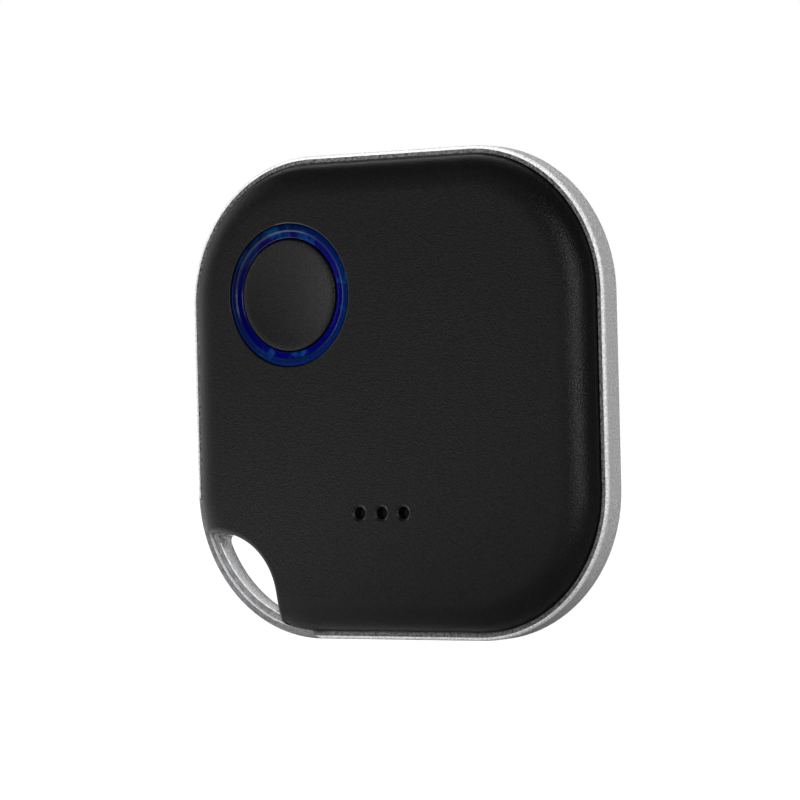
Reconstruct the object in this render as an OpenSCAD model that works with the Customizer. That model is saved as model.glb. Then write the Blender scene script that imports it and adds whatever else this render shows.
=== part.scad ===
// Bluetooth tracker tag: a thin rounded-square tag with a round button, a glowing ring round the
// button, three sound holes, and a keyring eyelet across one corner. Two black covers close a clear
// middle frame, which shows as a band all round and runs on as the bar of the eyelet.
// Every sub-part is drawn as if the tag lay on its back: x to the right, y up the face, z the height
// above the back face. upright() then stands it up, with the front face towards -Y and +Z up. The
// origin is the middle of the back face.

/* [Tag] */
// Width and height of the clear frame, the widest piece
tag_w = 36; // [35:0.5:38]
// Thickness from the back face to the front face
tag_t = 6; // [6:0.1:6.4]
// Radius of the clear frame's corners
corner_r = 11; // [10.6:0.1:11.4]
// Wall of the two covers
wall = 0.9; // [0.8:0.05:1]

/* [Clear frame] */
// Thickness of the clear band at the edge
band_t = 2; // [1.8:0.05:2.1]
// Height of the front cover above the band
front_rise = 1.57; // [1.5:0.01:1.65]
// Width of the clear rim that stands outside the covers
rim_w = 0.55; // [0.5:0.05:0.6]
// Depth of the ledges that the covers sit in
ledge = 0.3; // [0.25:0.05:0.35]
// Width of the frame from its outline to the room inside
frame_w = 2.2; // [2.1:0.05:2.3]

/* [Covers] */
// Width of the front cover's rolled edge
front_roll = 2.6; // [2.3:0.1:2.9]
// Width of the back cover's rolled edge
back_roll = 2.5; // [2.3:0.1:2.7]

/* [Eyelet] */
// Distance of the eyelet's centre from the tag's centre, left and down
eyelet_at = 15.3; // [15.2:0.05:15.4]
// Radius of the round bite out of both covers
bite_r = 5.4; // [5.3:0.05:5.5]
// Radius of the hole in the clear frame, about the same centre
hole_r = 5.05; // [4.9:0.05:5.1]
// Width of the clear bar across the corner
bar_w = 1.1; // [1:0.05:1.2]
// Radius where the bite runs out at the covers' edge
lobe_r = 0.7; // [0.6:0.05:0.8]
// Radius of the ends of the hole
hole_end_r = 0.5; // [0.4:0.05:0.6]

/* [Button and ring] */
// Button's centre, left of the tag's centre
button_left = 8.1; // [8:0.05:8.2]
// Button's centre, above the tag's centre
button_up = 7.65; // [7.6:0.05:7.8]
// Outer radius of the light ring
ring_r = 5.3; // [5.2:0.05:5.35]
// Inner radius of the light ring
ring_inner_r = 4.25; // [4.2:0.05:4.3]
// Gap round the button cap
cap_gap = 0.1; // [0.08:0.01:0.1]
// How far the button goes in
travel = 0.25; // [0.2:0.01:0.25]

/* [Sound holes] */
// Middle hole, left of the tag's centre
sound_left = 0.32; // [0:0.01:0.4]
// Row of holes, below the tag's centre
sound_down = 8.6; // [8.5:0.05:8.7]
// Distance between two holes
sound_pitch = 1.91; // [1.85:0.01:2]
// Radius of a hole
sound_r = 0.54; // [0.5:0.01:0.6]

/* [Coin cell] */
// Radius of the cell
cell_r = 10; // [10]
// Thickness of the cell
cell_t = 3.2; // [3.2]
// Cell's centre, right of and above the tag's centre
cell_at = 4.9; // [4.8:0.05:4.9]

/* [Hidden] */
$fn = 96;
eps = 0.01;
far = 60;

// Heights above the back face
half = tag_w / 2;
band_top = tag_t - front_rise;
band_low = band_top - band_t;
front_seat = band_top - ledge;
back_seat = band_low + ledge;
front_inside = tag_t - wall;
back_wall = 0.8;

// Covers: their outline stands this far inside the frame's
cover_gap = 0.05;
cover_in = rim_w + cover_gap;
locating_w = 0.5;
locating_front = 0.3;
locating_back = 0.6;
roll_steps = 12;

// Eyelet: the corner's centre and the bite's centre lie on one diagonal
corner_at = half - corner_r;
bar_inner_r = corner_r - bar_w;
centres_apart = (eyelet_at - corner_at) * sqrt(2);
bite_wall = 1.6;
// A rounding circle crosses its two edges by this much, so that no faces meet along a tangent
graze = 0.03;
past_tip = 1.3;

// Button, ring and switch
button = [-button_left, button_up];
ring_gap = 0.05;
ring_sunk = 0.03;
ring_front = tag_t - ring_sunk;
ring_back = 4.75;
ring_flange = 0.6;
ring_edge = 0.12;
ring_slope = 0.1;
ring_lip = 0.1;
cap_r = ring_inner_r - cap_gap;
cap_sunk = 0.05;
cap_front = tag_t - cap_sunk;
cap_t = 0.8;
cap_skirt = 0.85;
cap_tab = 0.6;
cap_tab_t = 0.3;
cap_tab_w = 1.2;
cap_tab_gap = 0.03;
cap_tab_angles = [60, 180, 300];
cap_foot = ring_back - cap_tab_gap - cap_tab_t;
cap_dish = 0.2;
boss_r = 0.7;
switch_w = 3;
switch_t = 0.6;
switch_floor = 0.1;
stem_r = 0.75;
stem_gap = 0.07;
dome_r = 1.1;
dome_t = 0.27;
dome_sheet = 0.05;
key_flange_r = 1.15;
key_flange_t = 0.1;
stem_sunk = 0.04;

// Circuit board
board_top = 3.9;
board_t = 0.8;
board_low = board_top - board_t;
stem_top = board_top + switch_t + travel - stem_sunk;
board_in = frame_w + 0.25;
board_corner_cut = 5;
board_corner_from = -3;
cell = [cell_at, cell_at];
notch_gap = 1;
notch_r = cell_r + notch_gap;
stake_r = 0.5;
stake_hole_r = 0.58;
post_r = 1;
post_head_r = 0.85;
post_head_t = 0.25;
posts = [[-13.4, -4.4], [-4, 13.6], [12.6, -6.4]];

// Surface-mounted parts
led_size = [1.6, 0.8, 0.4];
led_lens_l = 1;
led_ring = (ring_r + ring_inner_r) / 2;
led_angles = [90, 150, 210, 270];
chip = [-10.4, -0.6];
chip_w = 5;
chip_t = 0.85;
crystal_at = [-6.2, -5.4];
crystal_size = [2, 1.6, 0.6];
antenna_at = [12.4, -10.2];
antenna_size = [1.6, 3.2, 0.7];
inductor_at = [-13.9, -0.6];
inductor_size = [0.8, 1.6, 0.8];
small_size = [1, 0.5, 0.5];
resistor_t = 0.35;
capacitor_places = [
    [-12.4, 3.4], [-10.8, 3.4], [-9.2, 3.4], [-7.6, 2.2], [-10.4, -4.4], [-8.6, -6.6],
    [-4, -7.4], [8.6, -9]
];
resistor_places = [
    [-12.4, 8.6], [-10.8, 8.6], [-9.2, 8.6], [-7.6, 12.4], [6.8, -9], [10.4, -9]
];

// Buzzer
buzzer_drop = 1;
buzzer = [-sound_left, -sound_down - buzzer_drop];
buzzer_r = 5;
gasket_in_r = 4;
gasket_t = 0.2;
plate_t = 0.15;
ceramic_r = 3.6;
ceramic_t = 0.15;
plate_low = front_inside - gasket_t - plate_t;
ceramic_low = plate_low - ceramic_t;
mesh_w = 6.2;
mesh_h = 1.9;
mesh_t = 0.1;
spring_w = 0.8;
spring_sheet = 0.1;

// Coin cell, its cradle and contacts
cell_low = 1.15;
cell_wall = 0.3;
cell_cap_r = 9;
cell_cap_step = 0.3;
cell_seal_t = 0.35;
cell_seal_proud = 0.05;
cradle_gap = 0.15;
cradle_wall = 0.65;
cradle_low = 1.65;
cradle_top = 3.95;
contact_gap_w = 3;
open_from = 15;
ear_angles = [178, 225, 292];
ear_start = 0.2;
ear_hold = 1.2;
ear_w = 2.6;
ear_t = 0.5;
contact_sheet = 0.15;
contact_w = 2.4;
arm_gap = 0.25;
arm_top = cell_low + cell_t + arm_gap;
pad_r = 6;
pad_t = 0.3;

// Back cover's tongues, each a side's turn and a shift along it, and pry slot
tongues = [[0, 0], [90, 0], [180, -6], [270, 6]];
tongue_w = 3;
tongue_t = 0.6;
tongue_gap = 0.06;
tongue_in = frame_w + tongue_gap;
tongue_clear = 0.1;
tongue_top = board_low - tongue_clear;
pry_w = 5;
pry_h = 0.5;

// Stand the tag up: its height above the back face then runs towards -Y
module upright() {
    rotate([90, 0, 0]) children();
}

// Square with round corners, centred
module rounded_square(side_half, r) {
    at = side_half - r;
    square([2 * side_half, 2 * at], center = true);
    square([2 * at, 2 * side_half], center = true);
    for (sx = [-1, 1], sy = [-1, 1]) {
        translate([sx * at, sy * at]) circle(r);
    }
}

// The frame's outline, moved in by a distance
module outline(inset) {
    rounded_square(half - inset, corner_r - inset);
}

// Cross-section of a cover's edge: flat on top, with an elliptical roll down to its rim
function roll_section(r, roll, rise) = concat(
    [[0, 0]],
    [for (i = [0:roll_steps])
        let (a = 90 * i / roll_steps)
        [r - roll + roll * cos(a), rise * sin(a)]],
    [[0, rise]]
);

// Rounded square with a rolled edge: corners turned, sides drawn along, a block in the middle
module pillow(side_half, r, roll, rise) {
    at = side_half - r;
    for (turn = [0:90:270]) {
        rotate(turn) translate([at, at, 0]) {
            rotate_extrude(angle = 90) polygon(roll_section(r, roll, rise));
        }
        rotate(turn) translate([at, at, 0]) rotate([90, 0, 0]) {
            linear_extrude(2 * at) polygon(roll_section(r, roll, rise));
        }
    }
    translate([-at, -at, 0]) cube([2 * at, 2 * at, rise]);
}

// Where a circle about the corner's centre meets one about the bite's centre, on side s
function meeting(r_corner, r_bite, s) =
    let (
        along = (pow(centres_apart, 2) + pow(r_corner, 2) - pow(r_bite, 2)) / (2 * centres_apart),
        across = s * sqrt(pow(r_corner, 2) - pow(along, 2))
    )
    [-corner_at - (along + across) / sqrt(2), -corner_at - (along - across) / sqrt(2)];

// Point at a distance from a centre, towards another point
function towards(centre, point, r) = centre + r * (point - centre) / norm(point - centre);

// What rounding takes off a sharp corner: the corner's tip without the rounding circle
module rounding_sliver(r_corner, r_bite, round_centre, tip, r) {
    corner_centre = [-corner_at, -corner_at];
    bite_centre = [-eyelet_at, -eyelet_at];
    difference() {
        polygon([
            round_centre,
            towards(corner_centre, round_centre, r_corner),
            round_centre + past_tip * (tip - round_centre),
            towards(bite_centre, round_centre, r_bite)
        ]);
        translate(round_centre) circle(r, $fn = 48);
    }
}

// The bite out of a cover with a given inset, with round lobes where it runs out at the edge
module bite(inset) {
    edge_r = corner_r - inset;
    translate([-eyelet_at, -eyelet_at]) circle(bite_r);
    for (s = [-1, 1]) {
        rounding_sliver(
            edge_r, bite_r, meeting(edge_r - lobe_r + graze, bite_r + lobe_r - graze, s),
            meeting(edge_r, bite_r, s), lobe_r
        );
    }
}

// The eyelet's hole: a lens between the bite's circle and the inside of the bar, with round ends
module eyelet_hole() {
    difference() {
        intersection() {
            translate([-eyelet_at, -eyelet_at]) circle(hole_r);
            translate([-corner_at, -corner_at]) circle(bar_inner_r);
        }
        for (s = [-1, 1]) {
            end = meeting(bar_inner_r - hole_end_r + graze, hole_r - hole_end_r + graze, s);
            rounding_sliver(bar_inner_r, hole_r, end, meeting(bar_inner_r, hole_r, s), hole_end_r);
        }
    }
}

// The room inside the frame, moved in by a distance from the frame's own inner wall
module room(gap) {
    difference() {
        outline(frame_w + gap);
        translate([-eyelet_at, -eyelet_at]) circle(bite_r + bite_wall + gap);
    }
}

// A band that follows the room, between two distances outwards from it
module locating_band(width) {
    difference() {
        outline(frame_w - width);
        translate([-eyelet_at, -eyelet_at]) circle(bite_r + bite_wall - width);
        room(0);
    }
}

// Front cover: moulded black shell with the ring's hole, the sound holes and the board's posts
module front_cover() {
    rise = tag_t - front_seat;
    inner_rise = front_inside - front_seat;
    color("#1d1d1f") upright() {
        difference() {
            translate([0, 0, front_seat]) pillow(half - cover_in, corner_r - cover_in, front_roll, rise);
            difference() {
                translate([0, 0, front_seat - eps]) {
                    pillow(
                        half - cover_in - wall, corner_r - cover_in - wall,
                        front_roll - wall / 2, inner_rise + eps
                    );
                }
                linear_extrude(far) translate([-eyelet_at, -eyelet_at]) circle(bite_r + wall);
            }
            linear_extrude(far) bite(cover_in);
            translate([button.x, button.y, 0]) cylinder(h = far, r = ring_r + ring_gap);
            for (i = [-1:1]) {
                translate([i * sound_pitch - sound_left, -sound_down, 0]) {
                    cylinder(h = far, r = sound_r, $fn = 48);
                }
            }
        }
        for (p = posts) {
            translate([p.x, p.y, board_top]) {
                cylinder(h = front_inside - board_top + eps, r = post_r, $fn = 48);
            }
            translate([p.x, p.y, board_low - post_head_t]) {
                cylinder(h = board_t + post_head_t + eps, r = stake_r, $fn = 48);
            }
            translate([p.x, p.y, board_low - post_head_t]) {
                cylinder(h = post_head_t, r = post_head_r, $fn = 48);
            }
        }
    }
}

// Clear frame: the band all round, a rim outside both covers, locating lips inside, the eyelet's bar
module clear_frame() {
    color("#d4dbde", 0.5) upright() {
        difference() {
            translate([0, 0, band_low]) linear_extrude(band_t) outline(0);
            translate([0, 0, front_seat]) linear_extrude(far) outline(rim_w);
            mirror([0, 0, 1]) translate([0, 0, -back_seat]) linear_extrude(far) outline(rim_w);
            linear_extrude(far) room(0);
            linear_extrude(far) eyelet_hole();
        }
        translate([0, 0, back_seat - locating_back]) {
            linear_extrude(locating_back + front_seat - back_seat + locating_front) {
                locating_band(locating_w);
            }
        }
    }
}

// Back cover: the clip-on battery door, with four tongues inside the frame and a slot to pry it off
module back_cover() {
    color("#1d1d1f") upright() {
        difference() {
            translate([0, 0, back_seat]) mirror([0, 0, 1]) {
                pillow(half - cover_in, corner_r - cover_in, back_roll, back_seat);
            }
            difference() {
                translate([0, 0, back_seat + eps]) mirror([0, 0, 1]) {
                    pillow(
                        half - cover_in - wall, corner_r - cover_in - wall,
                        back_roll - wall / 2, back_seat - back_wall + eps
                    );
                }
                linear_extrude(far) translate([-eyelet_at, -eyelet_at]) circle(bite_r + wall);
            }
            translate([0, 0, -eps]) linear_extrude(far) bite(cover_in);
            translate([-pry_w / 2, -half, back_seat - pry_h]) {
                cube([pry_w, cover_in + wall / 2, pry_h + eps]);
            }
        }
        for (t = tongues) {
            rotate(t[0]) translate([-half + tongue_in, -tongue_w / 2 - t[1], back_wall - eps]) {
                cube([tongue_t, tongue_w, tongue_top - back_wall + eps]);
            }
        }
    }
}

// Light ring: tinted light guide that is glued in the cover's hole and frames the button
module light_ring() {
    color("#0a2a8c") upright() translate([button.x, button.y, 0]) {
        rotate_extrude() polygon([
            [ring_inner_r, ring_back],
            [ring_r + ring_flange, ring_back],
            [ring_r + ring_flange, front_inside],
            [ring_r, front_inside],
            [ring_r, ring_front - ring_edge],
            [ring_r - ring_edge, ring_front],
            [led_ring, ring_front],
            [ring_inner_r + ring_lip, ring_front - ring_slope],
            [ring_inner_r, ring_front - ring_slope - ring_lip]
        ]);
    }
}

// Button cap: dished black disc with a skirt, three tabs behind the ring and a boss for the switch
module button_cap() {
    dish = [
        for (i = [0:roll_steps])
            let (r = cap_r * i / roll_steps)
            [r, cap_front - cap_dish * (1 - pow(r / cap_r, 2))]
    ];
    under = [
        [cap_r, cap_foot],
        [cap_r - cap_skirt, cap_foot],
        [cap_r - cap_skirt, cap_front - cap_t],
        [0, cap_front - cap_t]
    ];
    color("#1d1d1f") upright() translate([button.x, button.y, 0]) {
        rotate_extrude() polygon(concat(dish, under));
        translate([0, 0, stem_top + eps]) {
            cylinder(h = cap_front - cap_t - stem_top, r = boss_r, $fn = 48);
        }
        for (a = cap_tab_angles) {
            rotate(a) translate([cap_r - cap_skirt / 2, -cap_tab_w / 2, cap_foot]) {
                cube([cap_tab + cap_skirt / 2, cap_tab_w, cap_tab_t]);
            }
        }
    }
}

// Switch body: square housing on the board with a round well for the dome and the plunger
module switch_body() {
    color("#c9c9cc") upright() translate([button.x, button.y, board_top]) {
        difference() {
            translate([-switch_w / 2, -switch_w / 2, 0]) cube([switch_w, switch_w, switch_t]);
            translate([0, 0, switch_floor]) {
                cylinder(h = switch_t - 2 * switch_floor, r = key_flange_r + stem_gap, $fn = 48);
            }
            translate([0, 0, switch_floor]) {
                cylinder(h = switch_t, r = stem_r + stem_gap, $fn = 48);
            }
        }
    }
}

// Switch dome: thin snap dome that pushes the plunger back
module switch_dome() {
    outer_r = (dome_r * dome_r + dome_t * dome_t) / (2 * dome_t);
    color("#d8d8d8") upright() translate([button.x, button.y, board_top + switch_floor]) {
        intersection() {
            cylinder(h = dome_t, r = dome_r, $fn = 48);
            difference() {
                translate([0, 0, dome_t - outer_r]) sphere(outer_r);
                translate([0, 0, dome_t - outer_r]) sphere(outer_r - dome_sheet);
            }
        }
    }
}

// Switch plunger: the stem that the button's boss pushes on
module switch_plunger() {
    color("#333336") upright() translate([button.x, button.y, 0]) {
        flange_low = board_top + switch_t - switch_floor - key_flange_t - eps;
        translate([0, 0, flange_low]) cylinder(h = key_flange_t, r = key_flange_r, $fn = 48);
        translate([0, 0, flange_low]) cylinder(h = stem_top - flange_low, r = stem_r, $fn = 48);
    }
}

// Circuit board: fills the left and lower part of the room, with a round notch for the cell
module circuit_board() {
    color("#0d5c34") upright() translate([0, 0, board_low]) linear_extrude(board_t) {
        difference() {
            room(board_in - frame_w);
            translate(cell) circle(notch_r);
            translate([cell_at + board_corner_cut, board_corner_from]) square(far);
            translate([board_corner_from, cell_at + board_corner_cut]) square(far);
            for (p = posts) {
                translate(p) circle(stake_hole_r, $fn = 48);
            }
        }
    }
}

// A box standing on the board's front face, centred on a place
module on_board(place, size, turn = 0) {
    translate([place.x, place.y, board_top]) rotate(turn) {
        translate([-size.x / 2, -size.y / 2, 0]) cube(size);
    }
}

// A box hanging under the board's back face, centred on a place
module under_board(place, size, turn = 0) {
    translate([place.x, place.y, board_low - size.z]) rotate(turn) {
        translate([-size.x / 2, -size.y / 2, 0]) cube(size);
    }
}

// Indicator LEDs: four in an arc on the board, behind the light ring
module indicator_leds() {
    color("#f2f0df") upright() {
        for (a = led_angles) {
            place = button + led_ring * [cos(a), sin(a)];
            on_board(place, [led_size.x, led_size.y, led_size.z / 2], a + 90);
            on_board(place, [led_lens_l, led_size.y, led_size.z], a + 90);
        }
    }
}

// Radio chip: square flat package under the board, with a dot for its first leg
module radio_chip() {
    dot_r = 0.25;
    dot_depth = 0.05;
    dot_in = 0.8;
    dot_at = chip + (chip_w / 2 - dot_in) * [1, 1];
    color("#26262a") upright() {
        difference() {
            under_board(chip, [chip_w, chip_w, chip_t]);
            translate([dot_at.x, dot_at.y, board_low - chip_t - eps]) {
                cylinder(h = dot_depth + eps, r = dot_r, $fn = 32);
            }
        }
    }
}

// Crystal: metal-lidded can beside the chip
module crystal() {
    lid_edge = 0.3;
    base_t = 0.42;
    color("#c8c4b6") upright() {
        under_board(crystal_at, [crystal_size.x, crystal_size.y, base_t]);
        under_board(crystal_at, crystal_size - [lid_edge, lid_edge, 0]);
    }
}

// Antenna: ceramic block at the corner far from the cell, with a plated end at each short side
module chip_antenna() {
    end_l = 0.5;
    end_extra = 0.04;
    color("#e8e4d8") upright() {
        under_board(antenna_at, antenna_size);
        for (s = [-1, 1]) {
            place = antenna_at + [0, s * (antenna_size.y - end_l) / 2];
            under_board(place, [antenna_size.x + end_extra, end_l, antenna_size.z + end_extra]);
        }
    }
}

// One small two-ended part: a body and two slightly larger ends
module two_ended(place, size) {
    end_l = 0.22;
    end_extra = 0.04;
    under_board(place, size);
    for (s = [-1, 1]) {
        end_place = place + [s * (size.x - end_l) / 2, 0];
        under_board(end_place, [end_l, size.y + end_extra, size.z + end_extra]);
    }
}

// Capacitors: a group of small ceramic ones
module capacitors() {
    color("#b58e62") upright() {
        for (p = capacitor_places) {
            two_ended(p, small_size);
        }
    }
}

// Resistors: a group of small flat ones
module resistors() {
    color("#2b2b2e") upright() {
        for (p = resistor_places) {
            two_ended(p, [small_size.x, small_size.y, resistor_t]);
        }
    }
}

// Inductor: the chip's supply choke
module inductor() {
    color("#55504b") upright() {
        under_board(inductor_at, inductor_size);
    }
}

// Sound mesh: dust cloth glued behind the three holes
module sound_mesh() {
    color("#3a3a3d") upright() {
        translate([-sound_left, -sound_down, front_inside - mesh_t]) linear_extrude(mesh_t) {
            square([mesh_w - mesh_h, mesh_h], center = true);
            for (s = [-1, 1]) {
                translate([s * (mesh_w - mesh_h) / 2, 0]) circle(mesh_h / 2, $fn = 48);
            }
        }
    }
}

// Buzzer gasket: sticky foam ring between the cover and the buzzer's plate
module buzzer_gasket() {
    color("#2a2a2a") upright() translate([buzzer.x, buzzer.y, front_inside - gasket_t]) {
        difference() {
            cylinder(h = gasket_t, r = buzzer_r);
            translate([0, 0, -eps]) cylinder(h = far, r = gasket_in_r);
        }
    }
}

// Buzzer plate: thin brass disc that the ceramic bends
module buzzer_plate() {
    color("#c9a44a") upright() translate([buzzer.x, buzzer.y, plate_low]) {
        cylinder(h = plate_t, r = buzzer_r);
    }
}

// Buzzer ceramic: the silvered piezo disc on the plate
module buzzer_ceramic() {
    color("#dcd8cc") upright() translate([buzzer.x, buzzer.y, ceramic_low]) {
        cylinder(h = ceramic_t, r = ceramic_r);
    }
}

// One strip spring seen from the side: a foot on the board and an arm that rises to a height
module strip_spring(reach, rise, sheet) {
    rotate([90, 0, 0]) linear_extrude(spring_w, center = true) polygon([
        [-reach / 2, 0],
        [reach / 2, 0],
        [reach / 2, sheet],
        [-reach / 2 + 3 * sheet, sheet],
        [reach / 2 - 2 * sheet, rise - 2 * sheet],
        [reach / 2, rise - sheet],
        [reach / 2, rise],
        [reach / 2 - 3 * sheet, rise],
        [-reach / 2, 2 * sheet]
    ]);
}

// Buzzer springs: one presses on the ceramic, the other on the rim of the plate
module buzzer_springs() {
    spring_reach = 1.8;
    tip_flat = 0.3;
    rim_at = (buzzer_r + ceramic_r) / 2;
    rim_spring_x = buzzer.x - rim_at - spring_reach / 2 + tip_flat;
    color("#d8b45a") upright() {
        translate([buzzer.x, buzzer.y, board_top]) {
            strip_spring(spring_reach, ceramic_low - board_top, spring_sheet);
        }
        translate([rim_spring_x, buzzer.y, board_top]) {
            strip_spring(spring_reach, plate_low - board_top, spring_sheet);
        }
    }
}

// Cell cradle: open plastic ring that holds the cell, with ears under the board's edge
module cell_cradle() {
    inner_r = cell_r + cradle_gap;
    outer_r = inner_r + cradle_wall;
    color("#2c2c30") upright() translate([cell_at, cell_at, 0]) {
        difference() {
            translate([0, 0, cradle_low]) cylinder(h = cradle_top - cradle_low, r = outer_r);
            cylinder(h = far, r = inner_r);
            translate([-contact_gap_w / 2, -far, 0]) cube([contact_gap_w, far, far]);
            rotate(open_from) cube(far);
        }
        for (a = ear_angles) {
            rotate(a) translate([inner_r + ear_start, -ear_w / 2, board_low - ear_t]) {
                cube([notch_r - inner_r - ear_start + ear_hold, ear_w, ear_t]);
            }
        }
    }
}

// Coin cell, can: the positive cup with the flat face towards the back cover
module coin_cell_can() {
    can_h = cell_t - cell_cap_step;
    color("#c6c8ca") upright() translate([cell_at, cell_at, cell_low]) {
        difference() {
            cylinder(h = can_h, r = cell_r);
            translate([0, 0, cell_wall]) cylinder(h = far, r = cell_r - cell_wall);
        }
    }
}

// Coin cell, cap: the negative lid, drawn solid with the cell's filling
module coin_cell_cap() {
    cap_low = cell_wall + cell_seal_t;
    color("#b8babc") upright() translate([cell_at, cell_at, cell_low + cap_low]) {
        cylinder(h = cell_t - cap_low, r = cell_cap_r);
    }
}

// Coin cell, gasket: the seal that keeps the can and the cap apart
module coin_cell_gasket() {
    color("#303034") upright() translate([cell_at, cell_at, cell_low + cell_wall]) {
        difference() {
            cylinder(h = cell_t - cell_cap_step - cell_wall + cell_seal_proud, r = cell_r - cell_wall);
            translate([0, 0, cell_seal_t]) cylinder(h = far, r = cell_cap_r);
        }
    }
}

// Positive contact: soldered under the board, with a leaf against the side of the can
module positive_contact() {
    foot_l = 3.8;
    leaf_h = 1.5;
    leaf_gap = 0.02;
    leaf_y = cell_at - cell_r - leaf_gap;
    color("#cfcfcf") upright() {
        translate([cell_at - contact_w / 2, leaf_y - foot_l, board_low - contact_sheet]) {
            cube([contact_w, foot_l, contact_sheet]);
        }
        translate([cell_at - contact_w / 2, leaf_y - contact_sheet, board_low - leaf_h]) {
            cube([contact_w, contact_sheet, leaf_h]);
        }
    }
}

// Negative contact: a strip from the board's front face, over the cradle and down on to the cap
module negative_contact() {
    foot_x = -8.4;
    rise_x = -6.6;
    tip_x = 1.9;
    arm_y = 1.4;
    dimple = 0.6;
    touch = cell_low + cell_t;
    color("#cfcfcf") upright() translate([0, arm_y, 0]) rotate([90, 0, 0]) {
        linear_extrude(contact_w) polygon([
            [foot_x, board_top],
            [rise_x, board_top],
            [rise_x, arm_top - contact_sheet],
            [tip_x - 2 * dimple, arm_top - contact_sheet],
            [tip_x - dimple, touch],
            [tip_x, touch],
            [tip_x, touch + contact_sheet],
            [tip_x - dimple, touch + contact_sheet],
            [tip_x - 2 * dimple, arm_top],
            [rise_x - contact_sheet, arm_top],
            [rise_x - contact_sheet, board_top + contact_sheet],
            [foot_x, board_top + contact_sheet]
        ]);
    }
}

// Battery pad: foam disc inside the back cover that keeps the cell from rattling
module battery_pad() {
    color("#4a4a4e") upright() translate([cell_at, cell_at, back_wall]) {
        cylinder(h = pad_t, r = pad_r);
    }
}

front_cover();
clear_frame();
back_cover();
light_ring();
button_cap();
switch_body();
switch_dome();
switch_plunger();
circuit_board();
indicator_leds();
radio_chip();
crystal();
chip_antenna();
capacitors();
resistors();
inductor();
sound_mesh();
buzzer_gasket();
buzzer_plate();
buzzer_ceramic();
buzzer_springs();
cell_cradle();
coin_cell_can();
coin_cell_cap();
coin_cell_gasket();
positive_contact();
negative_contact();
battery_pad();
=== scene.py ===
from math import atan2, cos, degrees, pi, radians, sin, sqrt

import bmesh
import bpy
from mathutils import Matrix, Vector


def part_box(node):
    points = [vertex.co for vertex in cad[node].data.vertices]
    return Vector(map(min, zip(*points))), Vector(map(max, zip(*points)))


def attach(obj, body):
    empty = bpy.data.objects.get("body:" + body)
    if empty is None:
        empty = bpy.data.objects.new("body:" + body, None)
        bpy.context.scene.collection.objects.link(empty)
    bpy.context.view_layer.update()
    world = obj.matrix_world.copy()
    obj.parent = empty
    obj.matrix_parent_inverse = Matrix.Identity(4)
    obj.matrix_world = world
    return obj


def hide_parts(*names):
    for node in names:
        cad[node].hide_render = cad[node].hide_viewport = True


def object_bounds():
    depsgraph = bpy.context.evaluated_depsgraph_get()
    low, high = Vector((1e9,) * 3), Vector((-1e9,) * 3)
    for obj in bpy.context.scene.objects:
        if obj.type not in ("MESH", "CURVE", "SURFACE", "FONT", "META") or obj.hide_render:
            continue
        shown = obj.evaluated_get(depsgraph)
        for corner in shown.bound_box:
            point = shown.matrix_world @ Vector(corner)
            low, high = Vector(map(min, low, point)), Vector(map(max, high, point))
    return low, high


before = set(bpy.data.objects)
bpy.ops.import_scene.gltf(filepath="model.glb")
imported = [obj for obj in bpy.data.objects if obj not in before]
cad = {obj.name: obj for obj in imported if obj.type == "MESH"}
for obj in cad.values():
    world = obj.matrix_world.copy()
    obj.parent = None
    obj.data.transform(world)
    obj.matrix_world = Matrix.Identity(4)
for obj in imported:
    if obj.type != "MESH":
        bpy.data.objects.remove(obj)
cad_box = [list(corner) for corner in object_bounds()]


# ---------------------------------------------------------------------------------- clear frame
# One clear polycarbonate band between the two covers, which runs on at the lower left corner as the
# bar of the keyring eyelet. Moulded with ledges and a thin inner lip that the covers sit on: satin on
# its side, clear over the black edge of the cover in front, and smoky along the bar.
mm = 0.001
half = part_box("clear_frame")[1].x
corner_r = 11 * mm
band_front = -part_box("clear_frame")[0].y
band_back = band_front - 2 * mm
ledge = 0.3 * mm
front_seat = band_front - ledge
back_seat = band_back + ledge
rim_w = 0.55 * mm
frame_w = 2.2 * mm
lip_w = 0.5 * mm
lip_back = -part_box("clear_frame")[1].y
corner_centre = Vector((corner_r - half, corner_r - half))
eyelet_centre = Vector((-15.3 * mm, -15.3 * mm))
room_round = 7 * mm
hole_r = 5.05 * mm
bar_inner_r = corner_r - 1.1 * mm
hole_end_r = 0.5 * mm
mouth = 0.12 * mm
edge_round = 0.03 * mm
front_bevel = 0.25 * mm
back_bevel = 0.22 * mm
overcut = 1 * mm
corner_steps = 32
hole_steps = 24
hole_end_steps = 8


def way(angle):
    """Unit vector in the tag's face, an angle in degrees from +X towards +Z."""
    return Vector((cos(radians(angle)), sin(radians(angle))))


def angle_of(vector):
    """Angle in degrees of a vector in the tag's face, from 0 to 360."""
    return degrees(atan2(vector.y, vector.x)) % 360


def arc(centre, radius, start, end, steps):
    """Points of an arc in the tag's face, with both its ends."""
    return [centre + radius * way(start + (end - start) * i / steps) for i in range(steps + 1)]


def rounded_square(inset):
    """The frame's outline, moved in by a distance."""
    points = []
    for turn, (x, z) in enumerate(((1, 1), (-1, 1), (-1, -1), (1, -1))):
        centre = Vector((-x * corner_centre.x, -z * corner_centre.y))
        points += arc(centre, corner_r - inset, 90 * turn, 90 * turn + 90, corner_steps)
    return points


def meeting(from_corner, from_eyelet):
    """The upper of the two points at these distances from the corner's and the eyelet's centre."""
    apart = (eyelet_centre - corner_centre).length
    along = (apart**2 + from_corner**2 - from_eyelet**2) / (2 * apart)
    across = sqrt(from_corner**2 - along**2)
    return corner_centre + along * way(225) + across * way(135)


def mirrored(point):
    """The same point on the other side of the tag's diagonal."""
    return Vector((point.y, point.x))


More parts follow.
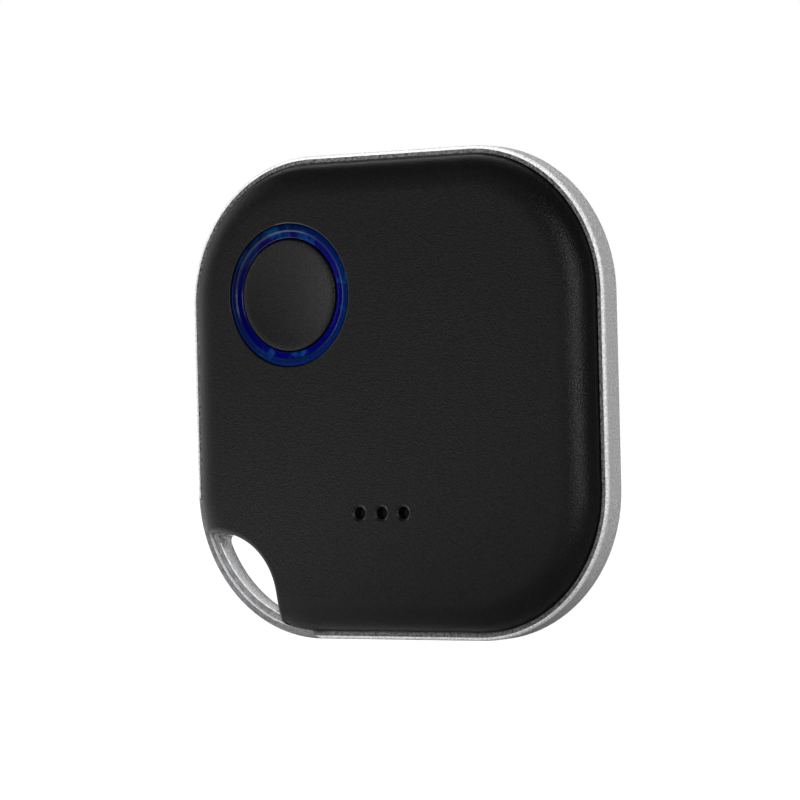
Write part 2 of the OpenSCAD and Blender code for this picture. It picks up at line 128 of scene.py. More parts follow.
def eyelet_hole(grown):
    """Outline of the eyelet's hole: a lens with round ends, moved out by a distance."""
    end = meeting(bar_inner_r - hole_end_r, hole_r - hole_end_r)
    out = angle_of(end - corner_centre)
    back = angle_of(end - eyelet_centre)
    points = arc(corner_centre, bar_inner_r + grown, out, 450 - out, hole_steps)
    points += arc(mirrored(end), hole_end_r + grown, 450 - out, 450 - back, hole_end_steps)
    points += arc(eyelet_centre, hole_r + grown, 90 - back, back, hole_steps)
    points += arc(end, hole_end_r + grown, back, out, hole_end_steps)
    return points


def raised(points, height):
    """Points of the tag's face, lifted to a height above the back face."""
    return [Vector((p.x, -height, p.y)) for p in points]


def tidy_mesh():
    """In edit mode: merge doubles, turn all faces outwards, and go back to object mode."""
    bpy.ops.mesh.select_all(action="SELECT")
    bpy.ops.mesh.remove_doubles(threshold=0.0001 * mm)
    bpy.ops.mesh.normals_make_consistent(inside=False)
    bpy.ops.object.mode_set(mode="OBJECT")


def loft(name, rows):
    """A closed solid: a filled outline, extruded from each row of points to the next."""
    bpy.ops.object.select_all(action="DESELECT")
    bpy.ops.mesh.primitive_circle_add(vertices=len(rows[0]), fill_type="NGON")
    piece = bpy.context.object
    piece.name = name
    bpy.ops.object.mode_set(mode="EDIT")
    mesh = bmesh.from_edit_mesh(piece.data)
    place = mesh.verts.layers.int.new("place")
    for number, vertex in enumerate(mesh.verts):
        vertex[place] = number
    for number, row in enumerate(rows):
        if number:
            bpy.ops.mesh.extrude_region_move()
            mesh = bmesh.from_edit_mesh(piece.data)
            place = mesh.verts.layers.int["place"]
        for vertex in mesh.verts:
            if vertex.select:
                vertex.co = row[vertex[place]]
    tidy_mesh()
    piece.data.attributes.remove(piece.data.attributes["place"])
    return piece


def boolean(piece, tool, operation="DIFFERENCE"):
    """Cut the tool out of the piece, or weld it on, and remove the tool."""
    change = piece.modifiers.new("boolean", "BOOLEAN")
    change.object = tool
    change.operation = operation
    change.solver = "EXACT"
    bpy.ops.object.select_all(action="DESELECT")
    bpy.context.view_layer.objects.active = piece
    bpy.ops.object.modifier_apply(modifier=change.name)
    bpy.data.objects.remove(tool)


def smooth(piece, angle=35):
    """Shade smooth up to an angle, with the large flat faces kept flat."""
    bpy.ops.object.select_all(action="DESELECT")
    piece.select_set(True)
    bpy.context.view_layer.objects.active = piece
    bpy.ops.object.shade_smooth_by_angle(angle=radians(angle))
    weighted = piece.modifiers.new("normals", "WEIGHTED_NORMAL")
    weighted.keep_sharp = True
    bpy.ops.object.modifier_apply(modifier=weighted.name)


def eyelet_post(radius):
    """A round post about the eyelet's centre that is longer than the tag is thick, to cut with."""
    bpy.ops.object.select_all(action="DESELECT")
    bpy.ops.mesh.primitive_cylinder_add(
        vertices=128,
        radius=radius,
        depth=20 * mm,
        location=(eyelet_centre.x, -band_back, eyelet_centre.y),
        rotation=(pi / 2, 0, 0),
    )
    bpy.ops.object.transform_apply(location=True, rotation=True, scale=True)
    return bpy.context.object


# The band's section: the front ledge's wall, the rim's top, the outside, and the same at the back
band_section = [
    (rim_w, front_seat),
    (rim_w, band_front - edge_round),
    (rim_w - edge_round, band_front),
    (front_bevel, band_front),
    (0.6 * front_bevel, band_front - 0.1 * front_bevel),
    (0.26 * front_bevel, band_front - 0.32 * front_bevel),
    (0.064 * front_bevel, band_front - 0.64 * front_bevel),
    (0, band_front - front_bevel),
    (0, band_back + back_bevel),
    (edge_round, band_back + back_bevel / 2),
    (back_bevel / 2, band_back + edge_round),
    (back_bevel, band_back),
    (rim_w - edge_round, band_back),
    (rim_w, band_back + edge_round),
    (rim_w, back_seat),
]
clear_band = loft("clear_band", [raised(rounded_square(i), h) for i, h in band_section])
lip = loft("lip", [raised(rounded_square(frame_w - lip_w), h) for h in (lip_back, band_front)])
boolean(lip, eyelet_post(room_round - lip_w))
boolean(clear_band, lip, "UNION")
room_ends = (lip_back - overcut, band_front + overcut)
room = loft("room", [raised(rounded_square(frame_w), h) for h in room_ends])
boolean(room, eyelet_post(room_round))
boolean(clear_band, room)
hole_section = [
    (mouth, band_back - overcut),
    (mouth, back_seat),
    (mouth * 0.3, back_seat + mouth * 0.3),
    (0, back_seat + mouth),
    (0, front_seat - mouth),
    (mouth * 0.3, front_seat - mouth * 0.3),
    (mouth, front_seat),
    (mouth, band_front + overcut),
]
boolean(clear_band, loft("hole", [raised(eyelet_hole(g), h) for g, h in hole_section]))

# An edge across the band where the eyelet's bar begins, so that the bar can have its own finish
bar_start = 7.9 * mm
cut_at = corner_centre + bar_start * way(225)
bpy.ops.object.mode_set(mode="EDIT")
bpy.ops.mesh.select_all(action="SELECT")
bpy.ops.mesh.bisect(plane_co=(cut_at.x, 0, cut_at.y), plane_no=(way(225).x, 0, way(225).y))
bpy.ops.object.mode_set(mode="OBJECT")
smooth(clear_band)


def new_group(name, inputs, outputs):
    """A shader node group with these inputs (name, value) and outputs (name, kind)."""
    group = bpy.data.node_groups.new(name, "ShaderNodeTree")
    for label, value in inputs:
        kind = "NodeSocketColor" if isinstance(value, tuple) else "NodeSocketFloat"
        socket = group.interface.new_socket(label, in_out="INPUT", socket_type=kind)
        socket.default_value = value
    for label, kind in outputs:
        group.interface.new_socket(label, in_out="OUTPUT", socket_type=kind)
    source = group.nodes.new("NodeGroupInput")
    drain = group.nodes.new("NodeGroupOutput")
    return group, source.outputs, drain.inputs


def add(tree, kind, links=(), **settings):
    """A node with its settings, whose inputs are fed by sockets or set to values."""
    node = tree.nodes.new("ShaderNode" + kind)
    for key, value in settings.items():
        setattr(node, key, value)
    for label, value in dict(links).items():
        if isinstance(value, bpy.types.NodeSocket):
            tree.links.new(value, node.inputs[label])
        else:
            node.inputs[label].default_value = value
    return node


def mix(tree, share, one, other):
    """Colour between two colours by a share."""
    node = add(tree, "Mix", data_type="RGBA")
    for label, value in (("Factor", share), ("A", one), ("B", other)):
        kind = "VALUE" if label == "Factor" else "RGBA"
        socket = next(s for s in node.inputs if s.name == label and s.type == kind)
        if isinstance(value, bpy.types.NodeSocket):
            tree.links.new(value, socket)
        else:
            socket.default_value = value
    return next(s for s in node.outputs if s.type == "RGBA")


def between(tree, value, low, high, to_low=0.0, to_high=1.0):
    """A value's range mapped on to another, and held inside it."""
    links = {"Value": value, "From Min": low, "From Max": high, "To Min": to_low, "To Max": to_high}
    return add(tree, "MapRange", links).outputs["Result"]


def put_out(group, gives, colour, roughness, height, depth, strength):
    """Give a group's outputs their colour and roughness, and the bumps of a height."""
    bump = add(group, "Bump", {"Strength": strength, "Distance": depth, "Height": height})
    group.links.new(colour, gives["Colour"])
    group.links.new(roughness, gives["Roughness"])
    group.links.new(bump.outputs["Normal"], gives["Normal"])


surface_outputs = [
    ("Colour", "NodeSocketColor"),
    ("Roughness", "NodeSocketFloat"),
    ("Normal", "NodeSocketVector"),
]

# Moulded surface: cloudy tone, fine grain in the height, and gloss that wanders a little
moulded, given, gives = new_group(
    "moulded surface",
    [
        ("Dark", (0.01, 0.01, 0.01, 1)),
        ("Light", (0.02, 0.02, 0.02, 1)),
        ("Grain size", 0.12 * mm),
        ("Grain depth", 0.004 * mm),
        ("Cloud size", 4 * mm),
        ("Smoothest", 0.4),
        ("Roughest", 0.5),
    ],
    surface_outputs,
)
spot = add(moulded, "TexCoord").outputs["Object"]
grain_scale = add(moulded, "Math", {0: 1.0, 1: given["Grain size"]}, operation="DIVIDE")
cloud_scale = add(moulded, "Math", {0: 1.0, 1: given["Cloud size"]}, operation="DIVIDE")
grain = add(moulded, "TexNoise", {"Vector": spot, "Scale": grain_scale.outputs[0], "Detail": 3.0})
clouds = add(moulded, "TexNoise", {"Vector": spot, "Scale": cloud_scale.outputs[0], "Detail": 4.0})
speck = between(moulded, grain.outputs["Fac"], 0.35, 0.65)
cloud = between(moulded, clouds.outputs["Fac"], 0.3, 0.7)
colour = mix(moulded, speck, given["Dark"], given["Light"])
gloss = between(moulded, cloud, 0.0, 1.0, given["Smoothest"], given["Roughest"])
put_out(moulded, gives, colour, gloss, grain.outputs["Fac"], given["Grain depth"], 1.0)


def material_of(name, group, values, **shader):
    """A material whose colour, roughness and normal come from a group with its own values."""
    material = bpy.data.materials.new(name)
    material.use_nodes = True
    tree = material.node_tree
    principled = tree.nodes["Principled BSDF"]
    for label, value in shader.items():
        principled.inputs[label.replace("_", " ")].default_value = value
    surface = tree.nodes.new("ShaderNodeGroup")
    surface.node_tree = group
    for label, value in values.items():
        surface.inputs[label].default_value = value
    for given_by, goes_to in (("Colour", "Base Color"), ("Roughness", "Roughness"), ("Normal", "Normal")):
        tree.links.new(surface.outputs[given_by], principled.inputs[goes_to])
    return material


def dress(piece, *materials):
    """Give a piece its materials in place of those that it has."""
    piece.data.materials.clear()
    for material in materials:
        piece.data.materials.append(material)


polished = material_of(
    "clear polycarbonate",
    moulded,
    {
        "Dark": (0.86, 0.89, 0.90, 1),
        "Light": (0.95, 0.97, 0.98, 1),
        "Grain size": 1.2 * mm,
        "Grain depth": 0.006 * mm,
        "Smoothest": 0.02,
        "Roughest": 0.09,
    },
    Transmission_Weight=1.0,
    IOR=1.58,
)
satin = material_of(
    "satin polycarbonate",
    moulded,
    {
        "Dark": (0.56, 0.56, 0.57, 1),
        "Light": (0.96, 0.96, 0.97, 1),
        "Grain size": 0.15 * mm,
        "Grain depth": 0.012 * mm,
        "Smoothest": 0.3,
        "Roughest": 0.42,
    },
    Transmission_Weight=0.2,
    IOR=1.58,
)
# Painted shade: the clear rim's front and inner faces are darkened for the black cover and the unlit inside
# seen through them
shaded = material_of(
    "clear polycarbonate over black",
    moulded,
    {
        "Dark": (0.03, 0.03, 0.032, 1),
        "Light": (0.16, 0.16, 0.165, 1),
        "Grain size": 0.2 * mm,
        "Grain depth": 0.006 * mm,
        "Cloud size": 3 * mm,
        "Smoothest": 0.08,
        "Roughest": 0.2,
    },
    Transmission_Weight=0.1,
    IOR=1.58,
)
smoky = material_of(
    "smoky polycarbonate",
    moulded,
    {
        "Dark": (0.17, 0.17, 0.175, 1),
        "Light": (0.33, 0.33, 0.335, 1),
        "Grain size": 0.4 * mm,
        "Grain depth": 0.012 * mm,
        "Cloud size": 2 * mm,
        "Smoothest": 0.06,
        "Roughest": 0.22,
    },
    Transmission_Weight=0.6,
    IOR=1.58,
)
finishes = [polished, satin, shaded, smoky]
dress(clear_band, *finishes)
side_start = -band_front + front_bevel
side_end = -band_back + ledge
hole_end = meeting(bar_inner_r - hole_end_r, hole_r - hole_end_r)
hole_ends = (hole_end, mirrored(hole_end))
hole_end_reach = hole_end_r + 0.15 * mm
in_hole_r = bar_inner_r - 0.2 * mm

# Each face's finish, by where it is and which way it faces
for face in clear_band.data.polygons:
    spot = Vector((face.center.x, face.center.z))
    flat_normal = Vector((face.normal.x, face.normal.z))
    outwards = spot.dot(flat_normal) > 0
    at_rim = max(abs(spot.x), abs(spot.y)) > half - corner_r
    on_side = side_start < face.center.y < side_end and face.normal.y > -0.2
    on_bevel = -0.99 < face.normal.y < -0.05
    on_bar = (spot - corner_centre).dot(way(225)) > bar_start
    by_hole_end = min((spot - end).length for end in hole_ends) < hole_end_reach
    in_hole = (spot - corner_centre).length > in_hole_r and flat_normal.dot(way(45)) > 0.3
    finish = polished
    if outwards and at_rim and on_side:
        finish = satin
    elif on_bar and by_hole_end and abs(face.normal.y) < 0.9:
        finish = polished
    elif on_bar:
        finish = satin if in_hole else smoky
    elif outwards and at_rim and on_bevel:
        finish = satin
    elif face.normal.y < -0.9 or (face.center.y < side_start and not outwards):
        finish = shaded
    face.material_index = finishes.index(finish)
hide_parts("clear_frame")
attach(clear_band, "housing")


# ---------------------------------------------------------------------------------- front cover
# The front shell: a thin black moulding with a rolled edge, bitten out round the eyelet, and with
# holes for the light ring and the sound. It has a fine spark-eroded grain, with a painted glint in a
# lighter, glossier black at the holes' edges. Three posts behind it go through the circuit board and are
# melted over in heads.
cover_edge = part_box("front_cover")[1].x
cover_r = corner_r - (half - cover_edge)
bite_r = 5.28 * mm
lobe_r = 0.7 * mm
bite_round = 0.42 * mm
flat_in = 3.2 * mm
front_face = -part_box("front_cover")[0].y
front_ceiling = front_face - 0.9 * mm
front_roll = 2.6 * mm
rim_end = 0.35
ceiling_end = 0.42
corner_start_steps = 5
lobe_steps = 10
round_steps = 5
roll_steps = 14


def quarter_round(radius, steps):
    """Ways inwards and down along a quarter circle, from its inner end to its outer end."""
    turns = [radians(90 * i / steps) for i in range(steps + 1)]
    return [(radius * (1 - sin(turn)), radius * (1 - cos(turn))) for turn in turns]


def cover_edge_points():
    """Each point of a cover's edge, the way inwards from it, and the flat face's point it leads to."""
    lobe = meeting(cover_r - lobe_r, bite_r + lobe_r)
    out = angle_of(lobe - corner_centre)
    back = angle_of(lobe - eyelet_centre)
    lobe_end = corner_centre + (cover_r - flat_in) * way(out)
    face_r = (lobe_end - eyelet_centre).length
    face_angle = angle_of(lobe_end - eyelet_centre)

    def corner(x, z, start, end, steps):
        centre = Vector((-x * corner_centre.x, -z * corner_centre.y))
        for i in range(steps + 1):
            inwards = -way(start + (end - start) * i / steps)
            edge = centre - cover_r * inwards
            yield edge, inwards, edge + flat_in * inwards

    def lobe_points(centre, start, end, leads_to):
        for i in range(1, lobe_steps):
            inwards = -way(start + (end - start) * i / lobe_steps)
            yield centre - lobe_r * inwards, inwards, leads_to

    def bite_points():
        for i in range(corner_steps + 1):
            inwards = way(back + (90 - 2 * back) * i / corner_steps)
            on_face = way(face_angle + (90 - 2 * face_angle) * i / corner_steps)
            yield eyelet_centre + bite_r * inwards, inwards, eyelet_centre + face_r * on_face

    points = []
    points += corner(1, 1, 0, 90, corner_steps)
    points += corner(-1, 1, 90, 180, corner_steps)
    points += corner(-1, -1, 180, out, corner_start_steps)
    points += lobe_points(lobe, out, back + 180, lobe_end)
    points += bite_points()
    points += lobe_points(mirrored(lobe), 270 - back, 450 - out, mirrored(lobe_end))
    points += corner(-1, -1, 450 - out, 270, corner_start_steps)
    points += corner(1, -1, 270, 360, corner_steps)
    return points


def cover_height(point, seat, face, roll):
    """Height of a cover's outside over a point: flat, with an elliptical roll down to its seat."""
    x = abs(point.x) + corner_centre.x
    z = abs(point.y) + corner_centre.y
    reach = sqrt(x * x + z * z) if x > 0 and z > 0 else max(x, z)
    share = min(1, max(0, (cover_r - reach) / roll))
    return seat + (face - seat) * sqrt(1 - (1 - share) ** 2)


def cover_rows(seat, face, roll, ceiling):
    """Rows of a cover's shell, from its ceiling over its rim and round its edge to its flat face."""
    ceiling_row, rim_row, seat_row = [], [], []
    round_rows = [[] for _ in range(round_steps + 1)]
    roll_rows = [[] for _ in range(roll_steps + 1)]
    up = 1 if face > seat else -1
    for edge, inwards, on_face in cover_edge_points():
        ceiling_row += raised([edge.lerp(on_face, ceiling_end)], ceiling)
        rim_row += raised([edge.lerp(on_face, rim_end)], seat)
        seat_row += raised([edge], seat)
        rise = abs(cover_height(edge, seat, face, roll) - seat)
        edge_r = min(bite_round, rise * 0.45)
        shoulder = edge + edge_r * inwards
        top = cover_height(shoulder, seat, face, roll)
        for row, (inset, drop) in zip(round_rows, reversed(quarter_round(edge_r, round_steps))):
            row += raised([edge + inset * inwards], top - up * drop)
        for number, row in enumerate(roll_rows):
            share = roll / flat_in * (1 - cos(radians(90 * (number + 1) / roll_steps)))
            point = shoulder.lerp(on_face, share if number < roll_steps else 1)
            row += raised([point], cover_height(point, seat, face, roll))
    return [ceiling_row, rim_row, seat_row, *round_rows, *roll_rows]


def turned(name, section, centre, closed=True, steps=96):
    """A turned solid about the Y axis: a section of (radius, height) points that is spun round."""
    bpy.ops.object.select_all(action="DESELECT")
    bpy.ops.mesh.primitive_circle_add(vertices=len(section), fill_type="NOTHING")
    piece = bpy.context.object
    piece.name = name
    bpy.ops.object.mode_set(mode="EDIT")
    mesh = bmesh.from_edit_mesh(piece.data)
    mesh.verts.ensure_lookup_table()
    for vertex, (radius, height) in zip(mesh.verts, section):
        vertex.co = Vector((centre.x + radius, -height, centre.y))
    if not closed:
        first, last = mesh.verts[0], mesh.verts[-1]
        mesh.edges.remove(next(e for e in first.link_edges if e.other_vert(first) == last))
    bmesh.update_edit_mesh(piece.data)
    bpy.ops.mesh.select_all(action="SELECT")
    bpy.ops.mesh.spin(steps=steps, angle=2 * pi, center=(centre.x, 0, centre.y), axis=(0, 1, 0))
    tidy_mesh()
    return piece


def centre_of(node):
    """Middle of a CAD node, in the tag's face."""
    low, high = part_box(node)
    return Vector(((low.x + high.x) / 2, (low.z + high.z) / 2))


def hole_tool(centre, radius, lip, face, depth):
    """A round tool that drills a hole with a countersunk mouth, softened at its edges."""
    section = [
        (0, face - depth),
        (radius, face - depth),
        (radius, face - 0.6 * lip),
        (radius + 0.08 * lip, face - 0.48 * lip),
        (radius + 0.9 * lip, face - 0.06 * lip),
        (radius + lip, face),
        (radius + lip, face + overcut),
        (0, face + overcut),
    ]
    return turned("tool", section, centre, closed=False)


front_shell = loft("front_shell", cover_rows(front_seat, front_face, front_roll, front_ceiling))
button = centre_of("light_ring")
drill_depth = 2 * mm
ring_hole_r = 5.35 * mm
ring_hole_lip = 0.07 * mm
boolean(front_shell, hole_tool(button, ring_hole_r, ring_hole_lip, front_face, drill_depth))
sound_pitch = 1.91 * mm
sound_r = 0.46 * mm
sound_lip = 0.18 * mm
sound_places = [centre_of("sound_mesh") + Vector((number * sound_pitch, 0)) for number in (-1, 0, 1)]
for place in sound_places:
    boolean(front_shell, hole_tool(place, sound_r, sound_lip, front_face, drill_depth))

# Each post: a shoulder in front of the board, a pin through it, and a domed head behind it
board_front = -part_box("circuit_board")[0].y
board_back = -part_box("circuit_board")[1].y
post_root = front_ceiling + 0.2 * mm
post_r = 1 * mm
pin_r = 0.5 * mm
head_r = 0.85 * mm
head_h = 0.25 * mm
post_section = [
    (0, post_root),
    (post_r, post_root),
    (post_r, board_front),
    (pin_r, board_front),
    (pin_r, board_back),
    (head_r, board_back),
    (head_r - 0.03 * mm, board_back - 0.4 * head_h),
    (head_r - 0.19 * mm, board_back - 0.8 * head_h),
    (head_r - 0.5 * mm, board_back - head_h),
    (0, board_back - head_h),
]
post_places = ((-13.4, -4.4), (-4, 13.6), (12.6, -6.4))
for x, z in post_places:
    post = turned("post", post_section, Vector((x * mm, z * mm)), closed=False, steps=32)
    boolean(front_shell, post, "UNION")
smooth(front_shell, angle=22)
black = material_of(
    "spark-textured black plastic",
    moulded,
    {
        "Dark": (0.005, 0.005, 0.0053, 1),
        "Light": (0.021, 0.021, 0.0216, 1),
        "Grain size": 0.11 * mm,
        "Grain depth": 0.035 * mm,
        "Cloud size": 5 * mm,
        "Smoothest": 0.28,
        "Roughest": 0.34,
    },
)
# A lighter, glossier black that paints a glint on the holes' mouths
painted_glint_black = material_of(
    "black edge with painted glint",
    moulded,
    {
        "Dark": (0.012, 0.012, 0.0125, 1),
        "Light": (0.04, 0.04, 0.041, 1),
        "Grain size": 0.08 * mm,
        "Grain depth": 0.012 * mm,
        "Smoothest": 0.12,
        "Roughest": 0.25,
    },
    Specular_IOR_Level=1.0,
)
dress(front_shell, black, painted_glint_black)

# Painted glint: a lighter, glossier black round the right halves of the holes' sloping mouths, which face
# left
for face in front_shell.data.polygons:
    spot = Vector((face.center.x, face.center.z))
    by_sound_hole = min((spot - place).length for place in sound_places) < sound_r + sound_lip
    by_ring_hole = (spot - button).length < ring_hole_r + ring_hole_lip
    sloping = -0.97 < face.normal.y < -0.5
    if (by_sound_hole or by_ring_hole) and sloping and face.normal.x < 0.1:
        face.material_index = 1
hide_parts("front_cover")
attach(front_shell, "housing")


# ----------------------------------------------------------------------------------- light ring
# The light guide round the button: a moulded ring of blue-tinted clear plastic, glued behind the
# cover's hole by its flange. It has a flat outer half, a small step and a sloping inner half. Its colour
# has painted glow in a few cloudy spots and painted shade towards the upper left.
ring_r = 5.3 * mm
flat_end_r = 4.84 * mm
slope_start_r = 4.73 * mm
slope_end_r = 4.36 * mm
ring_inner_r = 4.25 * mm
ring_low, ring_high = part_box("light_ring")
ring_front = -ring_low.y
ring_back = -ring_high.y
flange_r = (ring_high.x - ring_low.x) / 2
ring_section = [
    (ring_inner_r, ring_back),
    (flange_r, ring_back),
    (flange_r, front_ceiling),
    (ring_r, front_ceiling),
    (ring_r, ring_front - 0.14 * mm),
    (ring_r - 0.03 * mm, ring_front - 0.07 * mm),
    (ring_r - 0.08 * mm, ring_front - 0.02 * mm),
    (ring_r - 0.16 * mm, ring_front),
    (flat_end_r, ring_front),
    (flat_end_r - 0.03 * mm, ring_front - 0.01 * mm),
    (slope_start_r + 0.04 * mm, ring_front - 0.06 * mm),
    (slope_start_r, ring_front - 0.085 * mm),
    (slope_end_r, ring_front - 0.1 * mm),
    (slope_end_r - 0.05 * mm, ring_front - 0.115 * mm),
    (ring_inner_r + 0.02 * mm, ring_front - 0.145 * mm),
    (ring_inner_r, ring_front - 0.2 * mm),
]
ring = turned("blue_light_guide", ring_section, button, steps=128)
smooth(ring)

# Tinted light guide about its centre (Across, Up): a deep blue slope and a lighter flat with cloudy
# spots of painted glow, painted shade towards the upper left and painted shadow in patches on the step.
# Only the step and the inner edge shine fully.
guide, given, gives = new_group(
    "tinted light guide",
    [("Across", 0.0), ("Up", 0.0)],
    surface_outputs + [("Polish", "NodeSocketFloat")],
)
spot = add(guide, "TexCoord").outputs["Object"]
xyz = add(guide, "SeparateXYZ", {0: spot})
dx = add(guide, "Math", {0: xyz.outputs["X"], 1: given["Across"]}, operation="SUBTRACT").outputs[0]
dz = add(guide, "Math", {0: xyz.outputs["Z"], 1: given["Up"]}, operation="SUBTRACT").outputs[0]
flat_spot = add(guide, "CombineXYZ", {"X": dx, "Y": dz})
radius = add(guide, "VectorMath", {0: flat_spot.outputs[0]}, operation="LENGTH").outputs["Value"]
outer = between(guide, radius, slope_start_r + 0.01 * mm, flat_end_r)
# Cloudy spots of painted glow in a lighter blue
clouds = add(guide, "TexNoise", {"Vector": spot, "Scale": 420.0, "Detail": 5.0, "Roughness": 0.6})
bright = between(guide, clouds.outputs["Fac"], 0.56, 0.72)
fine = add(guide, "TexNoise", {"Vector": spot, "Scale": 5200.0, "Detail": 2.0})
body = mix(guide, outer, (0.0, 0.003, 0.32, 1), (0.0, 0.03, 0.24, 1))
painted_glow = mix(guide, bright, body, (0.01, 0.24, 0.7, 1))
# Painted shade: darker towards the upper left, along a wandering edge
slant = add(guide, "Math", {0: dx, 1: dz}, operation="SUBTRACT").outputs[0]
depth = add(guide, "TexNoise", {"Vector": spot, "Scale": 300.0, "Detail": 3.0}).outputs["Fac"]
wander = add(guide, "Math", {0: depth, 1: 0.012, 2: slant}, operation="MULTIPLY_ADD").outputs[0]
painted_shade_share = between(guide, wander, -0.002, 0.009, 0.85, 0.0)
shaded_body = mix(guide, painted_shade_share, painted_glow, (0.0, 0.0, 0.05, 1))
past_slope = between(guide, radius, slope_start_r - 0.01 * mm, slope_start_r + 0.01 * mm)
before_flat = between(guide, radius, flat_end_r, flat_end_r + 0.02 * mm, 1.0, 0.0)
on_step = add(guide, "Math", {0: past_slope, 1: before_flat}, operation="MULTIPLY").outputs[0]
# Painted shadow in patches on the step
shadow = add(guide, "TexNoise", {"Vector": spot, "Scale": 260.0, "Detail": 2.0})
shadow_here = between(guide, shadow.outputs["Fac"], 0.42, 0.56)
dark_step = add(guide, "Math", {0: on_step, 1: shadow_here}, operation="MULTIPLY").outputs[0]
inner_edge = between(guide, radius, slope_end_r - 0.06 * mm, slope_end_r - 0.02 * mm, 1.0, 0.0)
edges = add(guide, "Math", {0: on_step, 1: inner_edge}, operation="MAXIMUM").outputs[0]
guide.links.new(between(guide, edges, 0.0, 1.0, 0.06, 1.0), gives["Polish"])
colour = mix(guide, dark_step, shaded_body, (0.0, 0.0, 0.03, 1))
gloss = between(guide, fine.outputs["Fac"], 0.3, 0.7, 0.08, 0.22)
put_out(guide, gives, colour, gloss, fine.outputs["Fac"], 0.01 * mm, 0.6)
blue = material_of("blue light guide", guide, {"Across": button.x, "Up": button.y}, IOR=1.5)
polish = blue.node_tree.nodes["Group"].outputs["Polish"]
blue.node_tree.links.new(polish, blue.node_tree.nodes["Principled BSDF"].inputs["Specular IOR Level"])
dress(ring, blue)
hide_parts("light_ring")
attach(ring, "housing")


# ----------------------------------------------------------------------------------- button cap
# The button: a moulded black disc with a shallow dish and a finer grain than the covers. It slides
# in the ring, kept in by three tabs behind it, and a boss behind its middle presses the switch.
cap_low, cap_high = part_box("button_cap")
cap_r = 4.15 * mm
cap_front = -cap_low.y
cap_foot = -cap_high.y
cap_dish = 0.2 * mm
cap_skirt = 0.85 * mm
cap_ceiling = cap_front - 0.8 * mm
cap_round = 0.12 * mm
dish_r = cap_r - cap_round
dish_steps = 11
boss_r = 0.7 * mm
boss_foot = -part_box("switch_plunger")[0].y
cap_section = [(0, cap_front - cap_dish)]
for number in range(1, dish_steps + 1):
    share = number / dish_steps
    cap_section += [(dish_r * share, cap_front - cap_dish * (1 - share**2))]
cap_section += [(cap_r - inset, cap_front - drop) for inset, drop in quarter_round(cap_round, 5)[1:]]
cap_section += [
    (cap_r, cap_foot),
    (cap_r - cap_skirt, cap_foot),
    (cap_r - cap_skirt, cap_ceiling),
    (boss_r, cap_ceiling),
    (boss_r, boss_foot),
    (0, boss_foot),
]
cap = turned("button_disc", cap_section, button, closed=False, steps=128)


def block(place, height, size, turn=0, soften=0):
    """A block at its place in the tag's face and its height, with its edges softened if asked."""
    bpy.ops.object.select_all(action="DESELECT")
    bpy.ops.mesh.primitive_cube_add(
        size=1, location=(place.x, -height, place.y), rotation=(0, radians(-turn), 0), scale=size
    )
    bpy.ops.object.transform_apply(location=True, rotation=True, scale=True)
    if soften:
        bpy.ops.object.mode_set(mode="EDIT")
        bpy.ops.mesh.select_all(action="SELECT")
        bpy.ops.mesh.bevel(offset=soften, segments=3, affect="EDGES")
        bpy.ops.object.mode_set(mode="OBJECT")
    return bpy.context.object


tab_h = 0.3 * mm
tab_size = (1.6 * mm, tab_h, 1.2 * mm)
tab_at = cap_r - 0.2 * mm
for angle in (60, 180, 300):
    tab = block(button + tab_at * way(angle), cap_foot + tab_h / 2, tab_size, angle)
    boolean(cap, tab, "UNION")
smooth(cap)
fine_black = material_of(
    "fine-textured black plastic",
    moulded,
    {
        "Dark": (0.005, 0.005, 0.0053, 1),
        "Light": (0.021, 0.021, 0.0216, 1),
        "Grain size": 0.1 * mm,
        "Grain depth": 0.018 * mm,
        "Cloud size": 5 * mm,
        "Smoothest": 0.2,
        "Roughest": 0.25,
    },
)
dress(cap, fine_black)
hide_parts("button_cap")
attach(cap, "button")


# ----------------------------------------------------------------------------------- back cover
# The battery door: the same black moulding as the front shell, deeper and flat behind, with four
# tongues that clip inside the frame and a slot in its lower edge to pry it off with a coin.
back_face = -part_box("back_cover")[1].y
back_ceiling = back_face + 0.8 * mm
back_roll = 2.5 * mm
door = loft("battery_door", cover_rows(back_seat, back_face, back_roll, back_ceiling))
slot_size = (5 * mm, 1 * mm, 0.9 * mm)
boolean(door, block(Vector((0, -cover_edge)), back_seat, slot_size, soften=0.15 * mm))
tongue_top = -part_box("back_cover")[0].y
tongue_h = tongue_top - back_ceiling + 0.3 * mm
tongue_size = (0.6 * mm, tongue_h, 3 * mm)
tongue_at = half - frame_w - 0.36 * mm
for turn, shift in ((180, 0), (270, 0), (0, -6 * mm), (90, 6 * mm)):
    place = tongue_at * way(turn) + shift * way(turn + 90)
    tongue = block(place, tongue_top - tongue_h / 2, tongue_size, turn, soften=0.1 * mm)
    boolean(door, tongue, "UNION")
smooth(door)
dress(door, black)
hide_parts("back_cover")
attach(door, "back_door")


# Brushed sheet: fine lines along the sheet, in the colour and in the height, and smudged gloss
metal, given, gives = new_group(
    "brushed sheet",
    [
        ("Dark", (0.5, 0.5, 0.5, 1)),
        ("Light", (0.8, 0.8, 0.8, 1)),
        ("Smoothest", 0.18),
        ("Roughest", 0.38),
    ],
    surface_outputs,
)
spot = add(metal, "TexCoord").outputs["Object"]
along = add(metal, "VectorMath", {0: spot, 1: (600, 9000, 9000)}, operation="MULTIPLY").outputs[0]
lines = add(metal, "TexNoise", {"Vector": along, "Scale": 1.0, "Detail": 3.0})
smudges = add(metal, "TexNoise", {"Vector": spot, "Scale": 450.0, "Detail": 4.0})
line = between(metal, lines.outputs["Fac"], 0.35, 0.65)
smudge = between(metal, smudges.outputs["Fac"], 0.35, 0.7)
colour = mix(metal, line, given["Dark"], given["Light"])
gloss = between(metal, smudge, 0.0, 1.0, given["Smoothest"], given["Roughest"])
